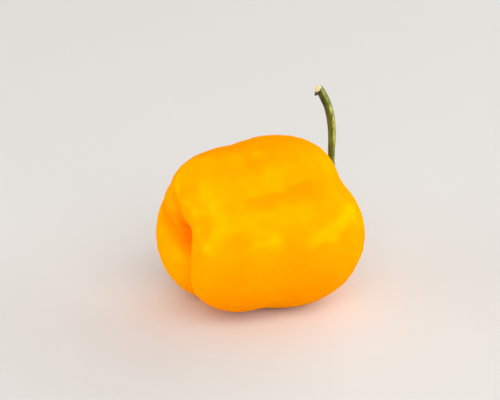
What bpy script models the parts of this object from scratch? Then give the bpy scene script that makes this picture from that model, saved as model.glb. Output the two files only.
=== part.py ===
"""A rocoto pepper as picked: a lobed ripe fruit lying on its side, its small
green calyx, and its curved stem with a torn tip.

Metres, +Z up. The origin is on the surface that the fruit lies on, under the
middle of the whole pepper. The fruit is drawn around its own long axis, which
runs from the blossom end (-X) to the stem end (+X), and an empty turns and
places that axis.
"""
from collections import namedtuple
from math import cos, exp, pi, radians, sin

import bmesh
import bpy
import numpy as np
from mathutils import Matrix, Vector

# Driving dimensions, in metres and degrees.

# How the fruit lies: its middle above the surface, and where the stem end points.
FRUIT_CENTRE = (-0.0011, 0.0012, 0.0293)
FRUIT_YAW = 29.0    # the stem end is turned back, away from the front
FRUIT_TILT = 5.0    # and slightly up

# The body of the fruit is the smooth outer hull of these rounded swellings. Azimuth
# goes round the long axis, from the front towards the top. A swelling's middle lies
# out from the axis and along it, and the halves are its half sizes along the fruit,
# outwards and round the fruit.
Swelling = namedtuple("Swelling", "name azimuth out along half_along half_out half_across")
SWELLINGS = (
    Swelling("core", 0, 0.0, 0.0, 0.029, 0.028, 0.028),
    Swelling("front lobe, blossom side", -9, 0.0098, -0.0130, 0.0243, 0.0210, 0.0241),
    Swelling("front lobe, underside", -69, 0.0086, -0.0035, 0.0242, 0.0206, 0.0212),
    Swelling("front lobe, stem side", -23, 0.0112, 0.0086, 0.0269, 0.0242, 0.0259),
    Swelling("upper lobe, blossom side", 88, 0.0080, -0.0090, 0.0260, 0.0205, 0.0220),
    Swelling("upper lobe, stem side", 80, 0.0090, 0.0095, 0.0240, 0.0200, 0.0210),
    Swelling("back fold, blossom side", 123, 0.0111, -0.0113, 0.0227, 0.0173, 0.0178),
    Swelling("back fold, stem side", 140, 0.0100, 0.0100, 0.0220, 0.0200, 0.0190),
    Swelling("back lobe, blossom side", 220, 0.0104, -0.0121, 0.0231, 0.0206, 0.0245),
    Swelling("back lobe, stem side", 228, 0.0110, 0.0100, 0.0230, 0.0215, 0.0230),
)
SMOOTH_HULL_POWER = 18    # higher gives sharper valleys between the swellings

# Furrows run between the lobes from end to end, deepest where the lobes fold in. A swing
# turns a furrow's azimuth near the blossom end, within its reach in degrees.
Furrow = namedtuple("Furrow", "name azimuth blossom_depth middle_depth stem_depth width rounding"
                    " swing swing_reach", defaults=(0.0, 28.0))
FURROWS = (
    Furrow("front lobe to back lobe", 273, 0.0064, 0.0004, 0.0025, 0.0038, 0.0008),
    Furrow("front lobe to upper lobe", 47, 0.0030, 0.0026, 0.0008, 0.0045, 0.0040),
    Furrow("upper lobe to back fold", 136, 0.0016, 0.0002, 0.0015, 0.0032, 0.0022, -100.0, 28.0),
    Furrow("back fold to back lobe", 140, 0.0030, 0.0006, 0.0020, 0.0030, 0.0010, 55.0, 14.0),
)
FURROW_RADIUS = 0.030         # where a furrow's width is measured
BLOSSOM_FURROW_REACH = 62.0   # degrees from the blossom end
STEM_FURROW_REACH = 50.0      # degrees from the stem end
FURROW_FADE = 8.0             # degrees from either end, within which furrows die out

# Both ends are drawn in: depth of the hollow and its half width in degrees.
BLOSSOM_HOLLOW = (0.0120, 17.4)
STEM_HOLLOW = (0.0065, 20.0)

FRUIT_SEGMENTS = 80
FRUIT_RINGS = 46

# The calyx is a thin star that follows the hollow at the stem end.
CALYX_GAP = 0.0004
CALYX_THICKNESS = 0.0009
CALYX_DISC = 14.0        # degrees from the fruit's axis, to between the teeth
CALYX_TOOTH = 5.0        # degrees further at each tooth's point
CALYX_TEETH = 5
CALYX_TOOTH_SHARPNESS = 1.3
BOSS_TOP = 0.0293        # the flat top that the stem grows from, along the fruit's axis
BOSS_HALF_WIDTH = 6.5    # degrees
CALYX_RINGS = 16

# The stem's middle line, as (along the fruit, to the front, up) from the fruit's middle.
STEM_ROUTE = (
    (0.0296, 0.0000, 0.0000),
    (0.0312, 0.0000, 0.0001),
    (0.0325, -0.0001, 0.0014),
    (0.0331, -0.0003, 0.0044),
    (0.0333, -0.0006, 0.0095),
    (0.0332, -0.0008, 0.0153),
    (0.0341, -0.0008, 0.0255),
    (0.0340, -0.0011, 0.0320),
    (0.0334, -0.0016, 0.0359),
    (0.0321, -0.0023, 0.0400),
    (0.0309, -0.0028, 0.0425),
)
STEM_RADIUS = 0.00112          # at its slimmest
STEM_FOOT_FLARE = 0.00075      # wider by this where it meets the calyx
STEM_FOOT_LENGTH = 0.055       # share of the stem that the flare takes
STEM_TIP_SWELL = 0.00040       # wider by this at the torn tip
STEM_STEPS_PER_SPAN = 4

# A stub of pith stands out of the torn tip, as steps beyond the rim and their radii.
PITH_STEPS = ((0.0001, 0.00105), (0.0007, 0.00095), (0.0012, 0.00055))

# A curl of dry bark hangs from the rim on the side that faces the blossom end.
BARK_OUT = 0.0012
BARK_BACK = 0.0009
BARK_LENGTH = 0.0010           # how far down the stem it reaches
BARK_NARROWNESS = 5            # higher gives a narrower curl


def clear_scene():
    """Remove whatever the file already holds."""
    for thing in list(bpy.data.objects):
        bpy.data.objects.remove(thing, do_unlink=True)


def plain_material(name, colour, roughness):
    """Give a Principled material with one colour and roughness."""
    material = bpy.data.materials.new(name)
    material.use_nodes = True
    shader = material.node_tree.nodes["Principled BSDF"]
    shader.inputs["Base Color"].default_value = (*colour, 1.0)
    shader.inputs["Roughness"].default_value = roughness
    shader.inputs["Metallic"].default_value = 0.0
    material.diffuse_color = (*colour, 1.0)
    return material


def swelling_reach(directions, swelling):
    """Distance from the fruit's middle to a swelling's skin, along unit directions.

    The middle is inside the swelling, so the ray leaves it once: the distance is the
    larger root of a quadratic.
    """
    turn = radians(swelling.azimuth)
    along, front, up = directions.T
    outwards = front * cos(turn) + up * sin(turn)
    sideways = up * cos(turn) - front * sin(turn)
    ray = np.stack([along / swelling.half_along,
                    outwards / swelling.half_out,
                    sideways / swelling.half_across], axis=1)
    middle = np.array([swelling.along / swelling.half_along, swelling.out / swelling.half_out, 0.0])
    ray_square = (ray * ray).sum(axis=1)
    ray_middle = ray @ middle
    under_root = ray_middle ** 2 - ray_square * (middle @ middle - 1.0)
    return (ray_middle + np.sqrt(under_root)) / ray_square


def hull_reach(directions):
    """Distance to the smooth outer hull of all the swellings."""
    total = sum(swelling_reach(directions, swelling) ** SMOOTH_HULL_POWER for swelling in SWELLINGS)
    return total ** (1.0 / SMOOTH_HULL_POWER)


def smoothstep(low, high, value):
    """Rise from 0 at low to 1 at high in a smooth S."""
    share = np.clip((value - low) / (high - low), 0.0, 1.0)
    return share * share * (3.0 - 2.0 * share)


def furrow_depth(furrow, from_stem, from_blossom, azimuth):
    """Depth of one furrow: a rounded groove along one azimuth, deeper towards the ends."""
    swing = radians(furrow.swing) * np.exp(-(from_blossom / radians(furrow.swing_reach)) ** 2)
    turn = azimuth - radians(furrow.azimuth) - swing
    side = FURROW_RADIUS * np.sin(from_stem) * np.sin(turn)
    away = np.sqrt(side ** 2 + furrow.rounding ** 2) - furrow.rounding
    this_side = smoothstep(-0.4, 0.7, np.cos(turn))
    at_blossom = np.exp(-(from_blossom / radians(BLOSSOM_FURROW_REACH)) ** 4)
    at_stem = np.exp(-(from_stem / radians(STEM_FURROW_REACH)) ** 4)
    depth = (furrow.blossom_depth * at_blossom
             + furrow.middle_depth * (1.0 - at_blossom) * (1.0 - at_stem)
             + furrow.stem_depth * at_stem)
    fade = 1.0 - np.exp(-(np.sin(from_stem) / sin(radians(FURROW_FADE))) ** 2)
    return np.exp(-away / furrow.width) * this_side * depth * fade


def end_hollow(hollow, from_end):
    """Depth of the round hollow at one end of the fruit."""
    depth, half_width = hollow
    return depth * np.exp(-(from_end / radians(half_width)) ** 2)


def fruit_reach(directions):
    """Distance from the fruit's middle to its skin, along (along, front, up) directions."""
    from_stem = np.arccos(np.clip(directions[:, 0], -1.0, 1.0))
    from_blossom = pi - from_stem
    azimuth = np.arctan2(directions[:, 2], directions[:, 1])
    reach = hull_reach(directions)
    for furrow in FURROWS:
        reach = reach - furrow_depth(furrow, from_stem, from_blossom, azimuth)
    reach = reach - end_hollow(BLOSSOM_HOLLOW, from_blossom)
    return reach - end_hollow(STEM_HOLLOW, from_stem)


def local_points(points):
    """Turn (along, front, up) rows into the empty's own X, Y and Z: Y points back."""
    return points * np.array([1.0, -1.0, 1.0])


def sphere_on_long_axis(segments, rings):
    """Start a unit sphere whose poles lie on X."""
    cage = bmesh.new()
    bmesh.ops.create_uvsphere(cage, u_segments=segments, v_segments=rings, radius=1.0,
                              matrix=Matrix.Rotation(pi / 2, 4, "Y"))
    return cage


def vertex_rows(cage):
    """Read a bmesh's vertices as rows of numbers."""
    return np.array([vertex.co[:] for vertex in cage.verts])


def finish_object(name, cage, places, material, collection, carrier):
    """Move a bmesh's vertices to their places and make it a smooth named object."""
    for vertex, place in zip(cage.verts, places):
        vertex.co = place
    mesh = bpy.data.meshes.new(name)
    cage.to_mesh(mesh)
    cage.free()
    mesh.shade_smooth()
    mesh.materials.append(material)
    thing = bpy.data.objects.new(name, mesh)
    collection.objects.link(thing)
    thing.parent = carrier
    return thing


def press_flat(points):
    """Flatten what would sink below the surface into the small spot that the fruit rests on."""
    tilt = radians(FRUIT_TILT)
    upwards = np.array([sin(tilt), 0.0, cos(tilt)])
    height = FRUIT_CENTRE[2] + points @ upwards
    return points + np.outer(np.maximum(-height, 0.0), upwards)


def make_fruit(collection, carrier):
    """Make the fruit, one solid body of skin and flesh."""
    cage = sphere_on_long_axis(FRUIT_SEGMENTS, FRUIT_RINGS)
    directions = local_points(vertex_rows(cage))
    directions /= np.linalg.norm(directions, axis=1, keepdims=True)
    points = local_points(directions * fruit_reach(directions)[:, None])
    skin = plain_material("ripe_skin", (0.99, 0.40, 0.004), 0.32)
    return finish_object("fruit", cage, press_flat(points), skin, collection, carrier)


def calyx_edge(azimuth):
    """Angle from the fruit's axis to the calyx's outline: a disc with pointed teeth."""
    tooth = (1.0 - np.abs(np.sin(azimuth * CALYX_TEETH / 2))) ** CALYX_TOOTH_SHARPNESS
    return np.radians(CALYX_DISC + CALYX_TOOTH * tooth)


def make_calyx(collection, carrier):
    """Make the calyx: a sphere laid out flat as two skins that meet at the toothed edge."""
    cage = sphere_on_long_axis(FRUIT_SEGMENTS, CALYX_RINGS)
    along, front, up = local_points(vertex_rows(cage)).T
    from_pole = np.arccos(np.clip(along, -1.0, 1.0))
    azimuth = np.arctan2(up, front)
    share = 1.0 - np.abs(1.0 - 2.0 * from_pole / pi)
    from_stem = share * calyx_edge(azimuth)
    directions = np.stack([np.cos(from_stem),
                           np.sin(from_stem) * np.cos(azimuth),
                           np.sin(from_stem) * np.sin(azimuth)], axis=1)
    is_top = np.clip(1.0 + (pi / 2 - from_pole) * CALYX_RINGS / pi, 0.0, 1.0)
    underside = fruit_reach(directions) + CALYX_GAP
    leaf = underside + CALYX_THICKNESS * (1.0 - 0.5 * share ** 4)
    boss = np.exp(-(from_stem / radians(BOSS_HALF_WIDTH)) ** 4)
    upper = leaf + boss * (BOSS_TOP / np.cos(from_stem) - leaf)
    reach = underside + is_top * (upper - underside)
    points = local_points(directions * reach[:, None])
    green = plain_material("calyx_green", (0.10, 0.16, 0.025), 0.6)
    return finish_object("calyx", cage, points, green, collection, carrier)


def smooth_route(points, steps):
    """Points on a smooth curve through the route's own points (Catmull-Rom)."""
    route = np.array(points)
    ends = np.vstack([2 * route[0] - route[1], route, 2 * route[-1] - route[-2]])
    share = np.linspace(0.0, 1.0, steps, endpoint=False)[:, None]
    spans = []
    for before, start, end, after in zip(ends, ends[1:], ends[2:], ends[3:]):
        spans.append(0.5 * (2 * start + (end - before) * share
                            + (2 * before - 5 * start + 4 * end - after) * share ** 2
                            + (3 * start - before - 3 * end + after) * share ** 3))
    return np.vstack(spans + [route[-1:]])


def stem_radius(share):
    """Radius of the stem: flared at its foot, slim above it, thicker again to its tip."""
    foot = STEM_FOOT_FLARE * np.exp(-(share / STEM_FOOT_LENGTH) ** 2)
    rise = np.clip((share - 0.35) / 0.65, 0.0, 1.0)
    return STEM_RADIUS + foot + STEM_TIP_SWELL * (1.0 - (1.0 - rise) ** 2)


def stem_tube(collection, carrier):
    """Make the stem's tube from a curve and return it as a mesh object with welded caps."""
    route = local_points(smooth_route(STEM_ROUTE, STEM_STEPS_PER_SPAN))
    travelled = np.concatenate([[0.0], np.cumsum(np.linalg.norm(np.diff(route, axis=0), axis=1))])
    tangent, _ = tip_axes()
    stub = [route[-1] + step * np.array(tangent) for step, _ in PITH_STEPS]
    radii = list(stem_radius(travelled / travelled[-1])) + [radius for _, radius in PITH_STEPS]
    curve = bpy.data.curves.new("stem_line", "CURVE")
    curve.dimensions = "3D"
    curve.bevel_depth = STEM_RADIUS
    curve.bevel_resolution = 5
    curve.use_fill_caps = True
    spline = curve.splines.new("POLY")
    spline.points.add(len(radii) - 1)
    for point, place, radius in zip(spline.points, [*route, *stub], radii):
        point.co = (*place, 1.0)
        point.radius = radius / STEM_RADIUS
    line = bpy.data.objects.new("stem_line", curve)
    collection.objects.link(line)
    bpy.context.view_layer.update()
    mesh = bpy.data.meshes.new_from_object(line.evaluated_get(bpy.context.evaluated_depsgraph_get()))
    mesh.name = "stem"
    bpy.data.objects.remove(line, do_unlink=True)
    welded = bmesh.new()
    welded.from_mesh(mesh)
    bmesh.ops.remove_doubles(welded, verts=welded.verts, dist=0.00001)
    bmesh.ops.recalc_face_normals(welded, faces=welded.faces)
    welded.to_mesh(mesh)
    welded.free()
    stem = bpy.data.objects.new("stem", mesh)
    collection.objects.link(stem)
    stem.parent = carrier
    return stem


def tip_axes():
    """Unit vectors at the tip: along the stem, and across it towards the blossom end."""
    before, tip = local_points(np.array(STEM_ROUTE[-2:]))
    tangent = Vector(tip - before).normalized()
    side = Vector((-1.0, 0.0, 0.0))
    side = (side - side.dot(tangent) * tangent).normalized()
    return tangent, side


def curl_bark(stem):
    """Pull the rim's skin on the blossom side outwards and back into a curl of dry bark."""
    tip = Vector(local_points(np.array(STEM_ROUTE[-1:]))[0])
    tangent, side = tip_axes()
    bark_radius = (STEM_RADIUS + STEM_TIP_SWELL) * 0.9
    for vertex in stem.data.vertices:
        offset = vertex.co - tip
        height = offset.dot(tangent)
        across = offset - height * tangent
        if across.length < bark_radius or abs(height) > 3 * BARK_LENGTH:
            continue
        facing = max(across.normalized().dot(side), 0.0) ** BARK_NARROWNESS
        pull = facing * exp(-(height / BARK_LENGTH) ** 2)
        vertex.co += pull * (BARK_OUT * side - BARK_BACK * tangent)


def make_stem(collection, carrier):
    """Make the stem, with a stub of pith and a curl of dry bark at its torn tip."""
    stem = stem_tube(collection, carrier)
    curl_bark(stem)
    stem.data.shade_smooth()
    stem.data.materials.append(plain_material("stem_green", (0.15, 0.19, 0.03), 0.55))
    return stem


def main():
    """Build the pepper."""
    clear_scene()
    collection = bpy.data.collections.new("rocoto_pepper")
    bpy.context.scene.collection.children.link(collection)
    carrier = bpy.data.objects.new("fruit_axis", None)
    carrier.location = FRUIT_CENTRE
    carrier.rotation_euler = (0.0, -radians(FRUIT_TILT), radians(FRUIT_YAW))
    collection.objects.link(carrier)
    make_fruit(collection, carrier)
    make_calyx(collection, carrier)
    make_stem(collection, carrier)


main()
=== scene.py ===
"""The finished look of a rocoto pepper that lies on its side: skin, calyx and stem."""

import logging
from dataclasses import dataclass, field
from enum import Enum
from math import pi, radians
from typing import ClassVar

import bpy
import numpy as np
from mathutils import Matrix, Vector


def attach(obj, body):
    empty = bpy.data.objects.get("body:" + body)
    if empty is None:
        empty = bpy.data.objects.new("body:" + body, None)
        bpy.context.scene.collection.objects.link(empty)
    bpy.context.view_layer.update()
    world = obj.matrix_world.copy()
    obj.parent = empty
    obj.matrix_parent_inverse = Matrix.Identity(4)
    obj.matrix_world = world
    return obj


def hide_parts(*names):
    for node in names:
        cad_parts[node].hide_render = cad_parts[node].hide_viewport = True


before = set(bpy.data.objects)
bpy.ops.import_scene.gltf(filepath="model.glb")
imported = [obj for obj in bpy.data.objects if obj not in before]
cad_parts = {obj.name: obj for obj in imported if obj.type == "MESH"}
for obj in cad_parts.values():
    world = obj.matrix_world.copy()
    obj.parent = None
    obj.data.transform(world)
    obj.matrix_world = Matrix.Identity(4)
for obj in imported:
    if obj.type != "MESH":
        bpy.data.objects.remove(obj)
LOG = logging.getLogger("rocoto pepper")
Rows = np.ndarray


class LampUse(Enum):
    """What a lamp lights: only the matt share of a surface, or only its gloss."""

    BODY = "body"
    GLOSS = "gloss"


class LampTint(Enum):
    """The soft whites that the lamps burn with."""

    DAY = (1.0, 0.98, 0.95)
    WARM = (1.0, 0.97, 0.92)
    PALE = (1.0, 0.99, 0.97)


class Slot(Enum):
    """The material slots of the record that the pieces take their finishes from."""

    SKIN = "ripe_skin"
    CALYX = "calyx_green"
    STEM = "stem_green"


def smoothstep(low: float, high: float, value: Rows) -> Rows:
    """Return 0 below low, 1 above high, and a smooth S between them."""
    share = np.clip((value - low) / (high - low), 0.0, 1.0)
    return share * share * (3.0 - 2.0 * share)


@dataclass(frozen=True)
class FruitAxes:
    """Where the fruit's own axes lie: along it to the stem end, to the front, and up.

    The sizes are metres and degrees, and they are the same as in the part's source.
    """

    centre: tuple[float, float, float] = (-0.0011, 0.0012, 0.0293)
    yaw: float = 29.0
    tilt: float = 5.0

    def basis(self) -> Rows:
        """Return the unit vectors along, front and up as three rows in world axes."""
        turn, lean = radians(self.yaw), radians(self.tilt)
        along = (np.cos(turn) * np.cos(lean), np.sin(turn) * np.cos(lean), np.sin(lean))
        front = (np.sin(turn), -np.cos(turn), 0.0)
        up = (-np.sin(lean) * np.cos(turn), -np.sin(lean) * np.sin(turn), np.cos(lean))
        return np.array([along, front, up])

    def to_world(self, points: Rows) -> Rows:
        """Place points given as (along, front, up) from the fruit's middle.

        Args:
            points: An array whose last axis holds the three numbers.

        Returns:
            The same points in world axes.
        """
        return points @ self.basis() + np.array(self.centre)


@dataclass(frozen=True)
class Swelling:
    """One rounded swelling of the fruit: an ellipsoid set off from the long axis.

    The azimuth is in degrees from the front, and the other sizes are metres.
    """

    azimuth: float
    out: float
    along: float
    half_along: float
    half_out: float
    half_across: float

    def reach(self, directions: Rows) -> Rows:
        """Distance to the swelling's skin, the larger root of the ray's quadratic.

        Args:
            directions: Unit directions as (along, front, up) in the last axis.

        Returns:
            One distance for each direction.
        """
        turn = radians(self.azimuth)
        outwards = directions[..., 1] * np.cos(turn) + directions[..., 2] * np.sin(turn)
        sideways = directions[..., 2] * np.cos(turn) - directions[..., 1] * np.sin(turn)
        ray = np.stack([directions[..., 0] / self.half_along,
                        outwards / self.half_out,
                        sideways / self.half_across], axis=-1)
        middle = np.array([self.along / self.half_along, self.out / self.half_out, 0.0])
        ray_square = (ray * ray).sum(axis=-1)
        ray_middle = ray @ middle
        under_root = ray_middle ** 2 - ray_square * (middle @ middle - 1.0)
        return (ray_middle + np.sqrt(under_root)) / ray_square


@dataclass(frozen=True)
class Furrow:
    """A furrow between two lobes, along one azimuth that may swing near the blossom end.

    Azimuth, swing and swing_reach are in degrees, and the other sizes are metres.
    """

    azimuth: float
    blossom_depth: float
    middle_depth: float
    stem_depth: float
    width: float
    rounding: float
    swing: float = 0.0
    swing_reach: float = 28.0


@dataclass(frozen=True)
class FruitForm:
    """The fruit's skin as a distance from its middle in every direction.

    The skin is the smooth outer hull of the swellings (the power mean of their
    reaches), less the furrows, less a round hollow at each end.
    """

    axes: FruitAxes = FruitAxes()
    swellings: tuple[Swelling, ...] = (
        Swelling(0, 0.0, 0.0, 0.029, 0.028, 0.028),
        Swelling(-9, 0.0098, -0.0130, 0.0243, 0.0210, 0.0241),
        Swelling(-69, 0.0086, -0.0035, 0.0242, 0.0206, 0.0212),
        Swelling(-23, 0.0112, 0.0086, 0.0269, 0.0242, 0.0259),
        Swelling(88, 0.0080, -0.0090, 0.0260, 0.0205, 0.0220),
        Swelling(80, 0.0090, 0.0095, 0.0240, 0.0200, 0.0210),
        Swelling(123, 0.0111, -0.0113, 0.0227, 0.0173, 0.0178),
        Swelling(140, 0.0100, 0.0100, 0.0220, 0.0200, 0.0190),
        Swelling(220, 0.0104, -0.0121, 0.0231, 0.0206, 0.0245),
        Swelling(228, 0.0110, 0.0100, 0.0230, 0.0215, 0.0230),
    )
    furrows: tuple[Furrow, ...] = (
        Furrow(273, 0.0064, 0.0004, 0.0025, 0.0038, 0.0008),
        Furrow(47, 0.0030, 0.0026, 0.0008, 0.0045, 0.0040),
        Furrow(136, 0.0016, 0.0002, 0.0015, 0.0032, 0.0022, -100.0, 28.0),
        Furrow(140, 0.0030, 0.0006, 0.0020, 0.0030, 0.0010, 55.0, 14.0),
    )
    hull_power: int = 18
    furrow_radius: float = 0.030
    blossom_furrow_reach: float = 62.0
    stem_furrow_reach: float = 50.0
    furrow_fade: float = 8.0
    blossom_hollow: tuple[float, float] = (0.0120, 17.4)
    stem_hollow: tuple[float, float] = (0.0065, 20.0)

    def hull(self, directions: Rows) -> Rows:
        """Return the smooth outer hull of the swellings in each direction."""
        total = sum(swelling.reach(directions) ** self.hull_power for swelling in self.swellings)
        return total ** (1.0 / self.hull_power)

    def furrowing(self, from_stem: Rows, azimuth: Rows) -> Rows:
        """Depth of all the furrows together.

        Each one is exp(-distance / width) across, rounded at its bottom, deeper
        towards both ends, and it dies out at the very ends. A swing turns its azimuth
        by a bell of the angle from the blossom end.

        Args:
            from_stem: Angle from the stem end, in radians.
            azimuth: Angle round the long axis from the front, in radians.

        Returns:
            The depth to take off the hull, in metres.
        """
        at_blossom = np.exp(-((pi - from_stem) / radians(self.blossom_furrow_reach)) ** 4)
        at_stem = np.exp(-(from_stem / radians(self.stem_furrow_reach)) ** 4)
        between = (1.0 - at_blossom) * (1.0 - at_stem)
        fade = 1.0 - np.exp(-(np.sin(from_stem) / np.sin(radians(self.furrow_fade))) ** 2)
        total = np.zeros_like(from_stem)
        for furrow in self.furrows:
            swing = furrow.swing * np.exp(-((pi - from_stem) / radians(furrow.swing_reach)) ** 2)
            turn = azimuth - np.radians(furrow.azimuth + swing)
            side = self.furrow_radius * np.sin(from_stem) * np.sin(turn)
            away = np.sqrt(side ** 2 + furrow.rounding ** 2) - furrow.rounding
            this_side = smoothstep(-0.4, 0.7, np.cos(turn))
            depth = (furrow.blossom_depth * at_blossom + furrow.middle_depth * between
                     + furrow.stem_depth * at_stem)
            total += np.exp(-away / furrow.width) * this_side * depth * fade
        return total

    def hollowing(self, from_stem: Rows) -> Rows:
        """Return the depth of the two round end hollows, each a bell exp(-(angle / width) ** 2)."""
        blossom_depth, blossom_width = self.blossom_hollow
        stem_depth, stem_width = self.stem_hollow
        return (blossom_depth * np.exp(-((pi - from_stem) / radians(blossom_width)) ** 2)
                + stem_depth * np.exp(-(from_stem / radians(stem_width)) ** 2))

    def reach(self, from_stem: Rows, azimuth: Rows) -> Rows:
        """Distance from the fruit's middle to its skin.

        Args:
            from_stem: Angle from the stem end, in radians.
            azimuth: Angle round the long axis from the front, in radians.

        Returns:
            One distance for each pair of angles, in metres.
        """
        hull = self.hull(ray(from_stem, azimuth))
        return hull - self.furrowing(from_stem, azimuth) - self.hollowing(from_stem)


def ray(from_stem: Rows, azimuth: Rows) -> Rows:
    """Return unit directions (along, front, up) for angles from the stem end and round it."""
    from_stem, azimuth = np.broadcast_arrays(from_stem, azimuth)
    return np.stack([np.cos(from_stem),
                     np.sin(from_stem) * np.cos(azimuth),
                     np.sin(from_stem) * np.sin(azimuth)], axis=-1)


def unit(vectors: Rows) -> Rows:
    """Return the vectors scaled to a length of one."""
    return vectors / np.linalg.norm(vectors, axis=-1, keepdims=True)


@dataclass(frozen=True)
class Ripple:
    """Smooth irregular relief: a sum of sine waves with seeded random directions."""

    seed: int
    wavelength: float
    waves: int = 14
    stretch: tuple[float, float, float] = (1.0, 1.0, 1.0)

    def value(self, points: Rows) -> Rows:
        """Give the relief at some points.

        Args:
            points: Places in metres, in any fixed axes.

        Returns:
            Numbers around zero, mostly between -1 and 1.
        """
        draw = np.random.default_rng(self.seed)
        directions = unit(draw.normal(size=(self.waves, 3))) * np.array(self.stretch)
        numbers = 2 * pi / (self.wavelength * draw.uniform(0.7, 1.5, self.waves))
        phases = draw.uniform(0.0, 2 * pi, self.waves)
        waves = np.sin((points @ directions.T) * numbers + phases)
        return waves.sum(axis=-1) / np.sqrt(self.waves)


@dataclass(frozen=True)
class Crease:
    """A fine fold line near the blossom end, as (degrees from that end, azimuth) stations."""

    stations: tuple[tuple[float, float], ...]
    depth: float = 0.0005
    half_width: float = 0.0012
    samples: int = 70

    def share(self, from_stem: Rows, azimuth: Rows, radius: float = 0.026) -> Rows:
        """How much of the crease is felt: a bell of the distance to its line.

        The line runs straight from station to station and fades in and out like a sine.

        Args:
            from_stem: Angle from the stem end, in radians.
            azimuth: Angle round the long axis, in radians.
            radius: Distance from the fruit's middle at which widths are measured.

        Returns:
            Numbers from 0 to 1.
        """
        ends = np.radians(np.array(self.stations))
        corners = ray(pi - ends[:, 0], ends[:, 1])
        place = np.linspace(0.0, len(corners) - 1.0, self.samples)
        known = np.arange(len(corners))
        line = np.stack([np.interp(place, known, column) for column in corners.T], axis=-1)
        strength = np.sin(pi * np.linspace(0.04, 0.96, self.samples)) ** 0.6
        near = 2.0 - 2.0 * ray(from_stem, azimuth) @ unit(line).T
        return (strength * np.exp(-near * (radius / self.half_width) ** 2)).max(axis=-1)


@dataclass
class Skinned:
    """A closed surface on a grid, with its ends drawn together in a point at each pole."""

    name: str
    grid: Rows
    first_pole: Rows
    last_pole: Rows
    marks: dict[str, Rows] = field(default_factory=dict)

    def faces(self) -> list[list[int]]:
        """Return quads between the rings and triangles at both poles."""
        rings, segments = self.grid.shape[:2]
        here = np.arange(rings * segments).reshape(rings, segments)
        there = np.roll(here, -1, axis=1)
        quads = np.stack([here[:-1], here[1:], there[1:], there[:-1]], axis=-1).reshape(-1, 4)
        first = np.full(segments, rings * segments)
        last = first + 1
        top = np.stack([first, here[0], there[0]], axis=-1)
        bottom = np.stack([last, there[-1], here[-1]], axis=-1)
        return quads.tolist() + top.tolist() + bottom.tolist()

    def volume(self, points: Rows, quads: Rows) -> float:
        """Return six times the volume of the cones on the quads, negative if they face in."""
        corners = (points - points.mean(axis=0))[quads]
        first = np.einsum("ij,ij->i", corners[:, 0], np.cross(corners[:, 1], corners[:, 2]))
        second = np.einsum("ij,ij->i", corners[:, 0], np.cross(corners[:, 2], corners[:, 3]))
        return float((first + second).sum())

    def build(self) -> bpy.types.Object:
        """Make the mesh object, smooth, facing outwards, with its marks as attributes.

        Returns:
            The new object, linked to the scene and standing at the origin.
        """
        points = np.vstack([self.grid.reshape(-1, 3), self.first_pole, self.last_pole])
        faces = self.faces()
        rings, segments = self.grid.shape[:2]
        quads = np.array(faces[:(rings - 1) * segments])
        if self.volume(points, quads) < 0.0:
            faces = [face[::-1] for face in faces]
        mesh = bpy.data.meshes.new(self.name)
        mesh.from_pydata(points.tolist(), [], faces)
        for mark, values in self.marks.items():
            self.add_mark(mesh, mark, values)
        mesh.shade_smooth()
        mesh.update()
        piece = bpy.data.objects.new(self.name, mesh)
        bpy.context.scene.collection.objects.link(piece)
        return piece

    def add_mark(self, mesh: bpy.types.Mesh, mark: str, values: Rows) -> None:
        """Store one number or vector for each point, with the poles taking their ring's mean.

        Args:
            mesh: The mesh that gets the attribute.
            mark: The attribute's name.
            values: The grid's values, with a third axis of three for a vector.
        """
        is_vector = values.ndim == 3
        flat = values.reshape(-1, 3) if is_vector else values.reshape(-1)
        ends = [values[0].mean(axis=0), values[-1].mean(axis=0)]
        whole = np.concatenate([flat, np.array(ends)])
        kind, key = ("FLOAT_VECTOR", "vector") if is_vector else ("FLOAT", "value")
        attribute = mesh.attributes.new(mark, kind, "POINT")
        attribute.data.foreach_set(key, whole.astype(np.float32).ravel())


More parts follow.
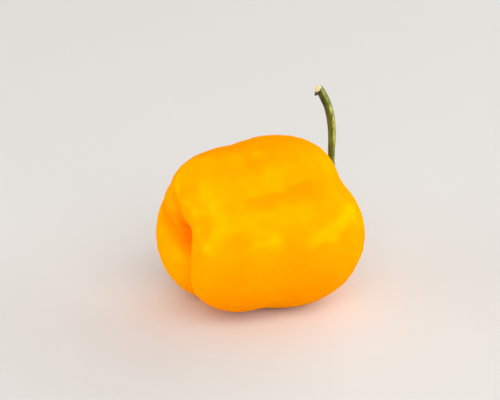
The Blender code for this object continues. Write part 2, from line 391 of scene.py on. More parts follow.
class NodeBench:
    """A material's node tree, with short calls that add and join nodes."""

    def __init__(self, name: str) -> None:
        """Start a material with an empty tree, a Principled shader and its output."""
        self.material = bpy.data.materials.new(name)
        self.material.use_nodes = True
        self.tree = self.material.node_tree
        self.tree.nodes.clear()
        output = self.tree.nodes.new("ShaderNodeOutputMaterial")
        self.shader = self.tree.nodes.new("ShaderNodeBsdfPrincipled")
        self.tree.links.new(self.shader.outputs["BSDF"], output.inputs["Surface"])

    def add(self, kind: str, settings: dict | None = None, **inputs: object) -> bpy.types.Node:
        """Add a node, set its properties, and set or link its inputs.

        Args:
            kind: The node's type name, such as ShaderNodeMath.
            settings: Its properties by name.
            inputs: Values or output sockets by input name, with _ for a space, or
                by input number as i0, i1 and so on.

        Returns:
            The new node.
        """
        node = self.tree.nodes.new(kind)
        for key, value in (settings or {}).items():
            setattr(node, key, value)
        for key, value in inputs.items():
            number = key[0] == "i" and key[1:].isdigit()
            socket = node.inputs[int(key[1:])] if number else node.inputs[key.replace("_", " ")]
            self.feed(socket, value)
        return node

    def feed(self, socket: bpy.types.NodeSocket, value: object) -> None:
        """Link a socket to an output, or set its own value."""
        if isinstance(value, bpy.types.NodeSocket):
            self.tree.links.new(value, socket)
        else:
            socket.default_value = value

    def set_shader(self, inputs: dict[str, object]) -> None:
        """Set or link the shader's inputs by name."""
        for name, value in inputs.items():
            self.feed(self.shader.inputs[name], value)

    def place(self) -> bpy.types.NodeSocket:
        """Return the Object coordinates."""
        return self.add("ShaderNodeTexCoord").outputs["Object"]

    def mark(self, name: str, output: str = "Fac") -> bpy.types.NodeSocket:
        """Return a mesh attribute as a number, or as the Vector output."""
        return self.add("ShaderNodeAttribute", {"attribute_name": name}).outputs[output]

    def noise(self, vector: bpy.types.NodeSocket, scale: float, detail: float = 3.0,
              roughness: float = 0.5) -> bpy.types.NodeSocket:
        """Return fractal noise between 0 and 1, with scale in cycles a metre."""
        node = self.add("ShaderNodeTexNoise", Vector=vector, Scale=scale, Detail=detail,
                        Roughness=roughness)
        return node.outputs["Fac"]

    def ramp(self, value: bpy.types.NodeSocket, low: float, high: float, to_low: float = 0.0,
             to_high: float = 1.0) -> bpy.types.NodeSocket:
        """Return a value eased from one range into another, and kept inside it."""
        node = self.add("ShaderNodeMapRange", {"interpolation_type": "SMOOTHSTEP"})
        for socket, number in zip(node.inputs, (value, low, high, to_low, to_high)):
            self.feed(socket, number)
        return node.outputs["Result"]

    def math(self, operation: str, first: object, second: object = 0.0) -> bpy.types.NodeSocket:
        """Return one arithmetic step."""
        return self.add("ShaderNodeMath", {"operation": operation}, i0=first, i1=second).outputs[0]

    def blend(self, share: object, first: object, second: object) -> bpy.types.NodeSocket:
        """Mix two colours.

        Args:
            share: How much of the second colour is taken, 0 to 1.
            first: A colour or a socket.
            second: A colour or a socket.

        Returns:
            The mixed colour.
        """
        node = self.add("ShaderNodeMix", {"data_type": "RGBA"})
        self.feed(node.inputs["Factor"], share)
        for name, value in (("A", first), ("B", second)):
            self.feed(next(s for s in node.inputs if s.name == name and s.type == "RGBA"), value)
        return next(socket for socket in node.outputs if socket.type == "RGBA")

    def bump(self, height: bpy.types.NodeSocket, distance: float, strength: float = 1.0,
             under: bpy.types.NodeSocket | None = None) -> bpy.types.NodeSocket:
        """Return a normal bent by a height of 0 to 1 times a distance in metres."""
        node = self.add("ShaderNodeBump", Height=height, Distance=distance, Strength=strength)
        if under is not None:
            self.tree.links.new(under, node.inputs["Normal"])
        return node.outputs["Normal"]


def paint(red: float, green: float, blue: float) -> tuple[float, float, float, float]:
    """Turn an sRGB colour of 0 to 255 into the linear colour that shaders take."""
    linear = (((value / 255 + 0.055) / 1.055) ** 2.4 if value > 10 else value / 255 / 12.92
              for value in (red, green, blue))
    return (*linear, 1.0)


@dataclass(frozen=True)
class RipeSkinFinish:
    """Waxy ripe skin: orange-yellow in soft clouds, and a deeper orange painted shade where it folds
    in and along its fine creases.

    The colours are linear. A small metallic share gives the gloss its own orange tint,
    where a plain specular layer would leave whitish rims. Scales are cycles a metre,
    and depths are metres.
    """

    ripe: tuple[float, ...] = (1.0, 0.315, 0.0, 1.0)
    yellow: tuple[float, ...] = (1.0, 0.345, 0.0, 1.0)
    # painted shade: the deeper orange laid into the furrows, the end hollows and the fine creases
    painted_shade_orange: tuple[float, ...] = (1.0, 0.19, 0.0, 1.0)
    scar: tuple[float, ...] = (0.22, 0.11, 0.03, 1.0)
    cloud_scale: float = 95.0
    fleck_scale: float = 900.0
    fleck_strength: float = 0.22
    fold_shade_range: tuple[float, float] = (0.58, 1.0)
    fold_shade_strength: float = 0.9
    crease_shade_strength: float = 0.6
    crease_shade_power: float = 0.6
    wax_scale: float = 140.0
    smoothest: float = 0.18
    roughest: float = 0.265
    metallic: float = 0.09
    gloss_tint: tuple[float, ...] = (1.0, 0.72, 0.04, 1.0)
    glow: float = 0.12
    glow_depth: float = 0.004
    glow_shares: tuple[float, float, float] = (1.0, 0.35, 0.05)
    dent_scale: float = 420.0
    dent_depth: float = 0.00012
    pore_scale: float = 2600.0
    pore_depth: float = 0.00003

    def material(self) -> bpy.types.Material:
        """Build the skin's material from its marks and from Object coordinates.

        Returns:
            The finished material.
        """
        bench = NodeBench("ripe_skin")
        place = bench.place()
        clouds = bench.ramp(bench.noise(place, self.cloud_scale), 0.40, 0.66)
        colour = bench.blend(clouds, self.ripe, self.yellow)
        speckle = bench.noise(place, self.fleck_scale, 2.0)
        flecks = bench.ramp(speckle, 0.56, 0.72, 0.0, self.fleck_strength)
        colour = bench.blend(flecks, colour, self.yellow)
        # painted shade: deeper orange where the skin folds into its furrows and end hollows
        fold_shade_share = bench.ramp(bench.mark("fold_shade"), *self.fold_shade_range, 0.0, self.fold_shade_strength)
        colour = bench.blend(fold_shade_share, colour, self.painted_shade_orange)
        # painted shade: deeper orange along the fine creases
        crease = bench.math("POWER", bench.mark("crease"), self.crease_shade_power)
        colour = bench.blend(bench.math("MULTIPLY", crease, self.crease_shade_strength), colour, self.painted_shade_orange)
        colour = bench.blend(bench.mark("scar"), colour, self.scar)
        wax = bench.noise(place, self.wax_scale, 2.0)
        pores = bench.noise(place, self.pore_scale, 2.0)
        dents = bench.noise(place, self.dent_scale, 2.0)
        dented = bench.bump(dents, self.dent_depth, 0.25)
        bench.set_shader({
            "Base Color": colour,
            "Roughness": bench.ramp(wax, 0.3, 0.7, self.smoothest, self.roughest),
            "Metallic": self.metallic,
            "IOR": 1.36,
            "Specular IOR Level": 0.0,
            "Specular Tint": self.gloss_tint,
            "Subsurface Weight": self.glow,
            "Subsurface Radius": self.glow_shares,
            "Subsurface Scale": self.glow_depth,
            "Normal": bench.bump(pores, self.pore_depth, 0.35, under=dented),
        })
        return bench.material


@dataclass(frozen=True)
class CalyxFinish:
    """Matt leafy green, paler along the ribs and dry brown at the rim."""

    leaf: tuple[float, ...] = paint(66, 96, 22)
    pale: tuple[float, ...] = paint(92, 120, 34)
    rib: tuple[float, ...] = paint(126, 142, 56)
    dry: tuple[float, ...] = paint(112, 82, 36)
    mottle_scale: float = 700.0
    rib_strength: float = 0.7
    roughness: float = 0.58
    specular: float = 0.12
    grain_scale: float = 2400.0
    grain_depth: float = 0.00008

    def material(self) -> bpy.types.Material:
        """Build the calyx's material.

        Returns:
            The finished material.
        """
        bench = NodeBench("calyx_green")
        place = bench.place()
        mottle = bench.ramp(bench.noise(place, self.mottle_scale, 4.0), 0.35, 0.7)
        colour = bench.blend(mottle, self.leaf, self.pale)
        ribbed = bench.math("MULTIPLY", bench.mark("rib"), self.rib_strength)
        colour = bench.blend(ribbed, colour, self.rib)
        edge = bench.math("MULTIPLY", bench.mark("edge"), bench.ramp(mottle, 0.0, 1.0, 0.5, 1.0))
        grain = bench.noise(place, self.grain_scale, 4.0, 0.6)
        bench.set_shader({
            "Base Color": bench.blend(edge, colour, self.dry),
            "Roughness": self.roughness,
            "Specular IOR Level": self.specular,
            "Normal": bench.bump(grain, self.grain_depth, 0.6),
        })
        return bench.material


@dataclass(frozen=True)
class StemFinish:
    """Satin olive green with pale streaks, brown flecks, a painted highlight line, painted shade on
    its sides and tip, and a torn cream and brown tip.
    """

    green: tuple[float, ...] = paint(76, 90, 16)
    bright: tuple[float, ...] = paint(110, 128, 32)
    # painted shade: the dark olive laid on the stem's sides and its tip
    painted_shade_olive: tuple[float, ...] = paint(38, 38, 7)
    # painted highlight: the pale line down the stem's front
    painted_highlight_pale: tuple[float, ...] = paint(204, 202, 118)
    fleck: tuple[float, ...] = paint(96, 62, 12)
    pith: tuple[float, ...] = paint(214, 198, 146)
    bark: tuple[float, ...] = paint(74, 50, 26)
    roughness: float = 0.40
    specular: float = 0.10
    streak_scale: float = 1500.0
    streak_depth: float = 0.00015
    grain_scale: float = 5200.0
    grain_depth: float = 0.00004

    def material(self) -> bpy.types.Material:
        """Build the stem's material in its own straightened coordinates.

        Returns:
            The finished material.
        """
        bench = NodeBench("stem_green")
        fibre = bench.mark("fibre", "Vector")

        def fibrous(lengthwise: float, scale: float, detail: float = 3.0) -> bpy.types.NodeSocket:
            """Return noise drawn out along the stem, more so for a smaller lengthwise share."""
            drawn = bench.add("ShaderNodeMapping", Vector=fibre, Scale=(1.0, 1.0, lengthwise))
            return bench.noise(drawn.outputs["Vector"], scale, detail, 0.6)

        streaks = fibrous(0.10, self.streak_scale)
        colour = bench.blend(bench.ramp(streaks, 0.38, 0.62), self.green, self.bright)
        # painted shade on the sides and tip, real brown flecks, and a painted highlight line down the
        # front
        patches = (
            # painted shade on the inner side of the bend, a line on the outer side and the tip
            ("painted_shade", bench.ramp(fibrous(0.3, 1300.0), 0.36, 0.56, 0.65, 1.0), self.painted_shade_olive),
            ("browned", bench.ramp(fibrous(0.5, 900.0, 4.0), 0.46, 0.58), self.fleck),
            # painted highlight: a pale line down the front of the stem
            ("painted_highlight", bench.ramp(fibrous(0.22, 1900.0), 0.42, 0.60, 0.12, 1.0), self.painted_highlight_pale),
        )
        for mark, broken, patch in patches:
            colour = bench.blend(bench.math("MULTIPLY", bench.mark(mark), broken), colour, patch)
        colour = bench.blend(bench.mark("dry"), colour, self.bark)
        colour = bench.blend(bench.mark("pith"), colour, self.pith)
        ridged = bench.bump(streaks, self.streak_depth, 0.7)
        grain = bench.noise(fibre, self.grain_scale)
        bench.set_shader({
            "Base Color": colour,
            "Roughness": self.roughness,
            "Specular IOR Level": self.specular,
            "Normal": bench.bump(grain, self.grain_depth, 0.5, under=ridged),
        })
        return bench.material


def dress(piece: bpy.types.Object, material: bpy.types.Material, node: str) -> None:
    """Give a piece its material, ride it on the one body, and stand it for a node.

    Args:
        piece: The finished object.
        material: Its material.
        node: The plain solid that it replaces.
    """
    piece.data.materials.append(material)
    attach(piece, "root")
    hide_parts(node)
    LOG.info("%s: %d points, stands for %s", piece.name, len(piece.data.vertices), node)


class GrownPiece:
    """A piece of the pepper: its class gives a surface, a finish, the slot and the solid's node."""

    slot: ClassVar[Slot]
    node: ClassVar[str]

    def build(self) -> bpy.types.Object:
        """Build the piece, dress it and let it stand for its solid.

        Returns:
            The finished piece.
        """
        piece = self.surface().build()
        dress(piece, self.finish.material(), self.node)
        return piece


@dataclass
class RipeFruit(GrownPiece):
    """The whole fruit: the form of the part's source with the skin's finer relief.

    Heights and depths are metres. The pucker's ring and spread are shares of its angle,
    which is in degrees, as the scar's is.
    """

    slot: ClassVar[Slot] = Slot.SKIN
    node: ClassVar[str] = "fruit"
    form: FruitForm = FruitForm()
    finish: RipeSkinFinish = RipeSkinFinish()
    rings: int = 236
    segments: int = 380
    ripples: Ripple = Ripple(seed=5, wavelength=0.011, stretch=(1.3, 0.6, 0.6))
    ripple_height: float = 0.00009
    dimples: Ripple = Ripple(seed=8, wavelength=0.0045)
    dimple_height: float = 0.00006
    pucker_height: float = 0.00005
    pucker_count: int = 13
    pucker_angle: float = 14.0
    pucker_ring: float = 0.75
    pucker_spread: float = 0.12
    creases: tuple[Crease, ...] = (
        Crease(((33.0, 100.0), (26.0, 87.0), (20.0, 89.0), (14.0, 103.0), (11.0, 130.0)), 0.0006),
        Crease(((36.0, 149.0), (30.0, 149.0), (24.0, 152.0), (18.5, 163.0), (16.0, 179.0)), 0.0005),
    )
    scar_angle: float = 2.4
    scar_height: float = 0.0006
    # painted shade: how much the furrows count towards the deeper orange, beside the end hollows
    furrow_shade_share: float = 0.35
    deepest_fold_shade: float = 0.0085

    def angles(self) -> tuple[Rows, Rows]:
        """Return the grid's angles from the stem end and round it, leaving the poles out."""
        from_stem = np.linspace(0.0, pi, self.rings + 2)[1:-1, None]
        azimuth = np.linspace(0.0, 2 * pi, self.segments, endpoint=False)[None, :]
        return np.broadcast_arrays(from_stem, azimuth)

    def relief(self, from_stem: Rows, azimuth: Rows, skin: Rows) -> Rows:
        """Fine relief of the skin, added outwards.

        Broad ripples that run round the fruit, smaller dents, puckers that fan out
        of both ends (a cosine of the azimuth under a bell of the angle), and the small
        raised scar of the flower at the blossom end.

        Args:
            from_stem: Angle from the stem end.
            azimuth: Angle round the long axis.
            skin: The points of the smooth form as (along, front, up).

        Returns:
            The height of the relief, in metres.
        """
        from_blossom = pi - from_stem
        wander = 0.5 * np.sin(3 * azimuth + 1.0)
        fan = np.cos(self.pucker_count * azimuth + wander)
        puckers = np.zeros_like(from_stem)
        for away in (from_stem, from_blossom):
            ring = away / radians(self.pucker_angle) - self.pucker_ring
            puckers = puckers + fan * np.exp(-ring ** 2 / self.pucker_spread)
        scar = self.scar_height * np.exp(-(from_blossom / radians(self.scar_angle)) ** 4)
        return (self.ripple_height * self.ripples.value(skin)
                + self.dimple_height * self.dimples.value(skin)
                + self.pucker_height * puckers + scar)

    def press_flat(self, points: Rows) -> Rows:
        """Flatten what would sink below the surface, so that the fruit rests on it."""
        pressed = points.copy()
        pressed[..., 2] = np.maximum(pressed[..., 2], 0.0)
        return pressed

    def surface(self) -> Skinned:
        """Work out the skin's grid and its marks.

        Returns:
            The closed surface, with marks for the painted shade where the skin folds in
            and along the fine creases, and for the scar.
        """
        from_stem, azimuth = self.angles()
        reach = self.form.reach(from_stem, azimuth)
        directions = ray(from_stem, azimuth)
        reach = reach + self.relief(from_stem, azimuth, directions * reach[..., None])
        shares = [crease.share(from_stem, azimuth) for crease in self.creases]
        reach = reach - sum(crease.depth * share for crease, share in zip(self.creases, shares))
        points = self.press_flat(self.form.axes.to_world(directions * reach[..., None]))
        # painted shade mark: the furrows' and end hollows' depth, scaled for the deeper orange
        fold_shade = (self.furrow_shade_share * self.form.furrowing(from_stem, azimuth)
                + self.form.hollowing(from_stem))
        from_blossom = pi - from_stem
        marks = {
            "fold_shade": np.clip(fold_shade / self.deepest_fold_shade, 0.0, 1.0),
            # the crease mark also lays painted shade along the fine creases
            "crease": np.maximum.reduce(shares),
            "scar": np.exp(-(from_blossom / radians(self.scar_angle)) ** 6) + 0.0 * azimuth,
        }
        ends = np.array([[1.0, 0.0, 0.0], [-1.0, 0.0, 0.0]])
        tips = self.form.axes.to_world(ends * reach[[0, -1]].mean(axis=1)[:, None])
        return Skinned("fruit_skin", points, tips[0], tips[1], marks)


@dataclass
class Calyx(GrownPiece):
    """The small green star that caps the stem end and follows its hollow.

    Disc, tooth and boss_half_width are angles from the fruit's axis in degrees. The ribs'
    middle and half length are shares of the way to the edge, and other sizes are metres.
    """

    slot: ClassVar[Slot] = Slot.CALYX
    node: ClassVar[str] = "calyx"
    form: FruitForm = FruitForm()
    finish: CalyxFinish = CalyxFinish()
    rings: int = 64
    segments: int = 240
    teeth: int = 5
    disc: float = 14.0
    tooth: float = 5.0
    sharpness: float = 1.3
    gap: float = 0.0003
    thickness: float = 0.0009
    rib_height: float = 0.00022
    rib_slimness: int = 14
    rib_middle: float = 0.55
    rib_half_length: float = 0.4
    tip_lift: float = 0.0003
    boss_top: float = 0.0296
    boss_half_width: float = 6.0

    def edge(self, azimuth: Rows) -> Rows:
        """Return the angle to the outline: a disc with five pointed teeth, slightly uneven."""
        tooth = (1.0 - np.abs(np.sin(azimuth * self.teeth / 2))) ** self.sharpness
        uneven = 0.5 * np.sin(azimuth + 0.6) + 0.35 * np.sin(3 * azimuth)
        return np.radians(self.disc + (self.tooth + uneven) * tooth)

    def surface(self) -> Skinned:
        """Work out the calyx's grid: out over the top to the edge, and back underneath.

        Returns:
            The closed surface with its ribs and its dry edge marked.
        """
        turn = np.linspace(0.0, 2.0, self.rings + 2)[1:-1, None]
        azimuth = np.linspace(0.0, 2 * pi, self.segments, endpoint=False)[None, :]
        turn, azimuth = np.broadcast_arrays(turn, azimuth)
        share = 1.0 - np.abs(1.0 - turn)
        from_stem = share * self.edge(azimuth)
        toothed = np.abs(np.cos(azimuth * self.teeth / 2))
        length = np.exp(-((share - self.rib_middle) / self.rib_half_length) ** 4)
        rib = toothed ** self.rib_slimness * length
        under = self.form.reach(from_stem, azimuth) + self.gap
        under = under + self.tip_lift * toothed ** 8 * share ** 6
        leaf = under + self.thickness * (1.0 - 0.55 * share ** 4) + self.rib_height * rib
        boss = np.exp(-(from_stem / radians(self.boss_half_width)) ** 4)
        upper = leaf + boss * (self.boss_top / np.cos(from_stem) - leaf)
        is_top = np.clip((1.0 - turn) * (self.rings + 1) * 0.5 + 0.5, 0.0, 1.0)
        reach = under + is_top * (upper - under)
        points = self.form.axes.to_world(ray(from_stem, azimuth) * reach[..., None])
        marks = {"rib": rib, "edge": share ** 12}
        return Skinned("calyx_star", points, points[0].mean(axis=0), points[-1].mean(axis=0), marks)


@dataclass
class Stem(GrownPiece):
    """The curved stem: ribbed, flared at its foot, and torn at its tip.

    The route gives its middle from the calyx up, as (along, front, up) in metres. The
    foot's length is a share of the stem's length, the heights of ribs and knots and the
    foot's rings are shares of its radius, rib_phase is the radians that the ribs' cosine
    gains over the stem, and other sizes are metres.
    """

    slot: ClassVar[Slot] = Slot.STEM
    node: ClassVar[str] = "stem"
    axes: FruitAxes = FruitAxes()
    finish: StemFinish = StemFinish()
    route: tuple[tuple[float, float, float], ...] = (
        (0.0296, 0.0000, 0.0000),
        (0.0312, 0.0000, 0.0001),
        (0.0325, -0.0001, 0.0014),
        (0.0331, -0.0003, 0.0044),
        (0.0333, -0.0006, 0.0095),
        (0.0332, -0.0008, 0.0153),
        (0.0341, -0.0008, 0.0255),
        (0.0340, -0.0011, 0.0320),
        (0.0334, -0.0016, 0.0359),
        (0.0321, -0.0023, 0.0400),
        (0.0309, -0.0028, 0.0425),
    )
    steps_per_span: int = 22
    segments: int = 96
    radius: float = 0.00112
    foot_flare: float = 0.00075
    foot_length: float = 0.055
    tip_swell: float = 0.00040
    rib_count: int = 5
    rib_height: float = 0.055
    rib_phase: float = 1.6
    knots: Ripple = Ripple(seed=3, wavelength=0.0050)
    knot_height: float = 0.030
    knot_radius: float = 0.0012
    foot_rings: tuple[float, float] = (0.4, 0.8)
    jag_height: float = 0.00018
    pith_height: float = 0.0013
    pith_radius: float = 0.00108
    bark_out: float = 0.0012
    bark_back: float = 0.0009
    bark_length: float = 0.0010
    bark_narrowness: int = 5

    def centreline(self) -> Rows:
        """Return points on a smooth curve through the route, as (along, front, up).

        Each span between two stations is a cubic whose slope at a station is half the
        step from the station before it to the one after it.
        """
        route = np.array(self.route)
        ends = np.vstack([2 * route[0] - route[1], route, 2 * route[-1] - route[-2]])
        share = np.linspace(0.0, 1.0, self.steps_per_span, endpoint=False)[None, :, None]
        before, start, end, after = (ends[shift:len(ends) - 3 + shift, None] for shift in range(4))
        spans = 0.5 * (2 * start + (end - before) * share
                       + (2 * before - 5 * start + 4 * end - after) * share ** 2
                       + (3 * start - before - 3 * end + after) * share ** 3)
        return np.vstack([spans.reshape(-1, 3), route[-1:]])

    def girth(self, share: Rows) -> Rows:
        """Return the radius: flared at the foot, slim above it, thicker again to the tip."""
        foot = self.foot_flare * np.exp(-(share / self.foot_length) ** 2)
        rise = np.clip((share - 0.35) / 0.65, 0.0, 1.0)
        return self.radius + foot + self.tip_swell * (1.0 - (1.0 - rise) ** 2)

    def tip_axes(self) -> tuple[Rows, Rows]:
        """Return unit vectors at the tip: along the stem, and across it to the blossom end."""
        tangent = unit(np.array(self.route[-1]) - np.array(self.route[-2]))
        side = np.array([-1.0, 0.0, 0.0])
        return tangent, unit(side - (side @ tangent) * tangent)

    def stub(self, around: Rows) -> tuple[Rows, Rows]:
        """Profile of the torn tip beyond the rim, as heights and radii for each turn.

        The rim rolls in to a rough face, then the stub of pith rises unevenly (two
        cosines of the angle) and rounds over to the axis like a quarter ellipse.

        Args:
            around: Angles round the stem, as one row.

        Returns:
            Heights above the rim and radii, each with one row for each step.
        """
        rim = self.radius + self.tip_swell
        face = np.linspace(1.0, 0.0, 8)[1:, None]
        face_radius = self.pith_radius + (rim - self.pith_radius) * face
        face_height = -0.00012 * np.sin(pi * face) + 0.0 * around
        bend = np.linspace(0.0, pi / 2, 16)[1:-1, None]
        uneven = 1.0 + 0.22 * np.cos(around - 0.8) + 0.16 * np.cos(3 * around + 0.5)
        pith_height = self.pith_height * np.sin(bend) * uneven
        pith_radius = self.pith_radius * np.cos(bend) ** 0.6 * (1.0 + 0.07 * np.cos(5 * around))
        heights = np.vstack([face_height, pith_height])
        radii = np.vstack([face_radius + 0.0 * around, pith_radius])
        return heights, radii

    def curl_bark(self, offset: Rows) -> Rows:
        """Shift that pulls the rim's skin out and back into a curl of dry bark.

        Args:
            offset: Points less the tip's middle, as (along, front, up).

        Returns:
            The shift of each point, a power of the cosine to the blossom side under a
            bell of the height from the rim.
        """
        tangent, side = self.tip_axes()
        height = offset @ tangent
        across = offset - height[..., None] * tangent
        width = np.linalg.norm(across, axis=-1)
        facing = np.maximum((across @ side) / width, 0.0) ** self.bark_narrowness
        outer = smoothstep(0.78, 0.95, width / (self.radius + self.tip_swell))
        pull = facing * outer * np.exp(-(height / self.bark_length) ** 2)
        return pull[..., None] * (self.bark_out * side - self.bark_back * tangent)

    def weathering_and_painted_light(self, around: Rows, height: Rows) -> dict[str, Rows]:
        """Mark the stem's painted highlight, its painted shade and its brown patches.

        Each is a bell of the angle round the stem times a bell or a step of the
        height: a painted highlight line faces the front, painted shade darkens the
        inner side of the bend, a line on its outer side and the tip, and brown
        patches sit at the middle of the bend.

        Args:
            around: Angles round the stem from its front, one row.
            height: Share of the stem's length, one row for each ring.

        Returns:
            The three marks, 0 to 1.
        """
        def bell(turn: float, width: float) -> Rows:
            """Return a bell round one angle, with its half width in radians."""
            away = (around - turn + pi) % (2 * pi) - pi
            return np.exp(-(away / width) ** 2)

        # the height band of the painted highlight line and the side brown
        lifted = smoothstep(0.44, 0.58, height) * (1.0 - 0.45 * smoothstep(0.80, 0.92, height))
        # painted shade: the inner side of the bend, darker higher up
        inner = bell(2.15, 0.95) * (0.55 + 0.45 * smoothstep(0.45, 0.75, height))
        # painted shade: a dark line down the outer side
        outer = 0.95 * bell(-1.50, 0.48)
        # painted shade: the darkening near the tip
        tip = bell(0.9, 1.2) * smoothstep(0.76, 0.92, height)
        middle = np.exp(-((height - 0.77) / 0.10) ** 2)
        return {
            # painted highlight: a pale line facing the front
            "painted_highlight": bell(-0.12, 0.34) * (0.14 + 0.86 * lifted),
            # painted shade: the sides and the tip
            "painted_shade": np.clip(inner + outer + tip, 0.0, 1.0),
            "browned": np.clip(bell(0.40, 0.75) * middle + 0.3 * bell(1.6, 0.6) * lifted, 0.0, 1.0),
        }

    def spokes(self, middle: Rows, around: Rows) -> tuple[Rows, Rows]:
        """Directions along the stem, and outwards at each angle from its front.

        Args:
            middle: Points on the centreline.
            around: Angles round the stem, one row.

        Returns:
            Unit vectors along the stem at each ring, and outwards at each point.
        """
        tangent = unit(np.gradient(middle, axis=0))
        front = np.array([0.0, 1.0, 0.0])
        side = unit(front - (tangent @ front)[:, None] * tangent)
        across = np.cross(tangent, side)
        spoke = side[:, None] * np.cos(around)[..., None] + across[:, None] * np.sin(around)[..., None]
        return tangent, spoke

    def width(self, share: Rows, around: Rows, core: Rows) -> Rows:
        """Radius of the tube: its girth with ribs (a cosine of the angle) and soft knots.

        Args:
            share: Share of the stem's length, one row for each ring.
            around: Angles round the stem, one row.
            core: Points round the centreline, where the knots are read.

        Returns:
            One radius for each point, in metres.
        """
        fade = smoothstep(0.02, 0.12, share) * (1.0 - smoothstep(0.96, 1.0, share))
        ribs = self.rib_height * np.cos(self.rib_count * around + self.rib_phase * share) * fade
        return self.girth(share) * (1.0 + ribs + self.knot_height * self.knots.value(core) * fade)

    def jag(self, around: Rows) -> Rows:
        """Return the torn rim's height round the stem, three cosines of the angle."""
        waves = np.cos(4 * around + 0.4) + 0.6 * np.cos(9 * around) + 0.4 * np.cos(17 * around + 1.0)
        return self.jag_height * waves

    def tip_marks(self, share: Rows, beyond: Rows, curl: Rows) -> dict[str, Rows]:
        """Mark the bare pith beyond the rim, and the dry bark on the rim and its curl.

        Args:
            share: Share of the stem's length at each ring, 1 beyond the rim.
            beyond: How far each ring lies beyond the rim, 0 to 1.
            curl: How far each point is pulled out into the curl, 0 to 1.

        Returns:
            The two marks, 0 to 1.
        """
        rim = 0.8 * smoothstep(0.985, 1.0, share) * (1.0 - beyond)
        return {"pith": beyond * (1.0 - np.clip(curl * 3.0, 0.0, 1.0)),
                "dry": np.clip(curl * 2.6 + rim, 0.0, 1.0)}

    def surface(self) -> Skinned:
        """Work out the stem's grid: two rings in its foot, the tube, its rim and the pith.

        Returns:
            The closed surface with its straightened coordinates and its patches marked.
        """
        middle = self.centreline()
        travelled = np.concatenate([[0.0], np.cumsum(np.linalg.norm(np.diff(middle, axis=0), axis=1))])
        share = (travelled / travelled[-1])[:, None]
        around = np.linspace(0.0, 2 * pi, self.segments, endpoint=False)[None, :]
        tangent, spoke = self.spokes(middle, around)
        radii = self.width(share, around, middle[:, None] + self.knot_radius * spoke)
        jag = self.jag(around)
        tube = (middle[:, None] + spoke * radii[..., None]
                + tangent[:, None] * (jag * smoothstep(0.965, 1.0, share))[..., None])
        heights, stub_radii = self.stub(around)
        rim_jag = jag * np.linspace(1.0, 0.0, len(heights))[:, None] ** 6
        stub = (middle[-1] + tangent[-1] * (heights + rim_jag)[..., None]
                + spoke[-1] * stub_radii[..., None])
        foot_radii = self.girth(np.zeros(1)) * np.array(self.foot_rings)[:, None]
        foot = middle[0] + spoke[0] * foot_radii[..., None]
        grid = np.concatenate([foot, tube, stub])
        bark_shift = self.curl_bark(grid - middle[-1])
        step = np.concatenate([travelled[:1].repeat(len(foot)), travelled,
                               travelled[-1] + heights.mean(axis=1)])[:, None]
        width = np.concatenate([radii[:1].repeat(len(foot), axis=0), radii, stub_radii])
        beyond = np.concatenate([np.zeros(len(foot) + len(tube)),
                                 np.clip(np.arange(len(stub)) / 4.0, 0.0, 1.0)])[:, None]
        ring_share = np.concatenate([np.zeros((len(foot), 1)), share, np.ones((len(stub), 1))])
        marks = {
            **self.weathering_and_painted_light(around, np.clip(step / travelled[-1], 0.0, 1.0) + 0.0 * around),
            **self.tip_marks(ring_share, beyond, np.linalg.norm(bark_shift, axis=-1) / self.bark_out),
            "fibre": np.stack([width * np.cos(around), width * np.sin(around), step + 0.0 * around],
                              axis=-1),
        }
        foot_pole = self.axes.to_world(middle[0])
        tip_pole = self.axes.to_world(middle[-1] + tangent[-1] * self.pith_height)
        world = self.axes.to_world(grid + bark_shift)
        return Skinned("stem_curved", world, foot_pole, tip_pole, marks)


@dataclass(frozen=True)
class SoftLamp:
    """One large soft lamp, aimed at the pepper, with its size in metres and power in watts."""

    name: str
    place: tuple[float, float, float]
    size: tuple[float, float]
    power: float
    tint: LampTint
    use: LampUse

    def build(self, target: Vector) -> None:
        """Hang the lamp and point it at the target."""
        lamp = bpy.data.lights.new(self.name, "AREA")
        lamp.shape = "RECTANGLE"
        lamp.size, lamp.size_y = self.size
        lamp.energy = self.power
        lamp.color = self.tint.value
        holder = bpy.data.objects.new(self.name, lamp)
        holder.location = self.place
        holder.rotation_euler = (target - holder.location).to_track_quat("-Z", "Y").to_euler()
        holder.visible_camera = False
        holder.visible_diffuse = self.use is LampUse.BODY
        holder.visible_glossy = self.use is LampUse.GLOSS
        bpy.context.scene.collection.objects.link(holder)


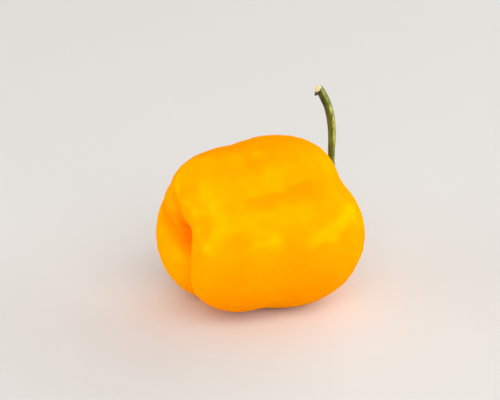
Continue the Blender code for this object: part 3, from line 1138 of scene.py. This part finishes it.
@dataclass
class Studio:
    """The plain pale floor, the soft light and the camera at the photograph's angle."""

    axes: FruitAxes = FruitAxes()
    camera_height_angle: float = 22.5
    camera_distance: float = 0.55
    camera_right: float = -0.00234
    camera_up: float = 0.00774
    lens: float = 110.0
    sensor: float = 36.0
    floor_half: float = 6.0
    floor_colour: tuple[float, ...] = (0.68, 0.67, 0.656, 1.0)
    floor_roughness: float = 0.75
    sky: float = 0.405
    sky_colour: tuple[float, ...] = (1.0, 0.99, 0.98, 1.0)
    lamps: tuple[SoftLamp, ...] = (
        SoftLamp("window", (0.45, -1.71, 1.51), (2.88, 2.16), 52.0, LampTint.DAY, LampUse.BODY),
        SoftLamp("left fill", (-2.47, -0.65, 0.33), (2.34, 0.62), 40.6, LampTint.DAY, LampUse.BODY),
        SoftLamp("right fill", (2.60, 0.39, 0.60), (2.34, 1.17), 40.5, LampTint.DAY, LampUse.BODY),
        SoftLamp("back fill", (1.43, 2.47, 0.99), (3.12, 2.08), 54.0, LampTint.DAY, LampUse.BODY),
        SoftLamp("right band", (1.06, -0.20, 0.24), (2.62, 0.43), 13.5, LampTint.WARM, LampUse.GLOSS),
        SoftLamp("right wash", (0.98, -0.12, 0.56), (2.62, 1.05), 13.5, LampTint.WARM, LampUse.GLOSS),
        SoftLamp("back wash", (-0.50, 0.50, 0.87), (1.20, 1.00), 9.0, LampTint.PALE, LampUse.GLOSS),
        SoftLamp("overhead", (-0.05, -0.38, 1.10), (1.80, 1.05), 15.0, LampTint.PALE, LampUse.GLOSS),
        SoftLamp("left wash", (-0.69, -0.69, 0.62), (1.26, 1.15), 9.5, LampTint.WARM, LampUse.GLOSS),
        SoftLamp("left crown", (-0.60, -0.50, 0.81), (0.45, 0.60), 1.4, LampTint.WARM, LampUse.GLOSS),
        SoftLamp("rear band", (-0.78, 0.78, 0.24), (1.10, 0.32), 5.5, LampTint.DAY, LampUse.GLOSS),
        SoftLamp("left band", (-0.95, -0.55, 0.16), (0.50, 0.27), 1.3, LampTint.WARM, LampUse.GLOSS),
    )

    def add_camera(self) -> None:
        """Make the camera, looking level with the photograph's, and set it as the scene's."""
        rise = radians(self.camera_height_angle)
        forward = np.array([0.0, np.cos(rise), -np.sin(rise)])
        upward = np.array([0.0, np.sin(rise), np.cos(rise)])
        place = (np.array(self.axes.centre) - self.camera_distance * forward
                 + self.camera_up * upward + np.array([self.camera_right, 0.0, 0.0]))
        data = bpy.data.cameras.new("camera")
        data.lens = self.lens
        data.sensor_width = self.sensor
        data.clip_start = 0.01
        camera = bpy.data.objects.new("camera", data)
        camera.location = place
        camera.rotation_euler = (pi / 2 - rise, 0.0, 0.0)
        bpy.context.scene.collection.objects.link(camera)
        bpy.context.scene.camera = camera

    def add_floor(self) -> None:
        """Lay the pale floor as one large face."""
        half = self.floor_half
        mesh = bpy.data.meshes.new("floor")
        mesh.from_pydata([(-half, -half, 0), (half, -half, 0), (half, half, 0), (-half, half, 0)],
                         [], [(0, 1, 2, 3)])
        floor = bpy.data.objects.new("floor", mesh)
        bench = NodeBench("floor_pale")
        bench.set_shader({
            "Base Color": self.floor_colour,
            "Roughness": self.floor_roughness,
            "Specular IOR Level": 0.0,
        })
        mesh.materials.append(bench.material)
        bpy.context.scene.collection.objects.link(floor)

    def add_light(self) -> None:
        """Light the room evenly and hang the lamps."""
        world = bpy.data.worlds.new("room")
        world.use_nodes = True
        background = world.node_tree.nodes["Background"]
        background.inputs["Color"].default_value = self.sky_colour
        background.inputs["Strength"].default_value = self.sky
        bpy.context.scene.world = world
        for lamp in self.lamps:
            lamp.build(Vector(self.axes.centre))
        bpy.context.scene.view_settings.view_transform = "Standard"


def main() -> None:
    """Build the studio, then each piece of the pepper."""
    logging.basicConfig(level=logging.INFO, format="%(name)s: %(message)s")
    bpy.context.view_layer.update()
    studio = Studio()
    studio.add_camera()
    for maker in (RipeFruit(), Calyx(), Stem()):
        maker.build()
    studio.add_floor()
    studio.add_light()


if __name__ == "__main__":
    main()
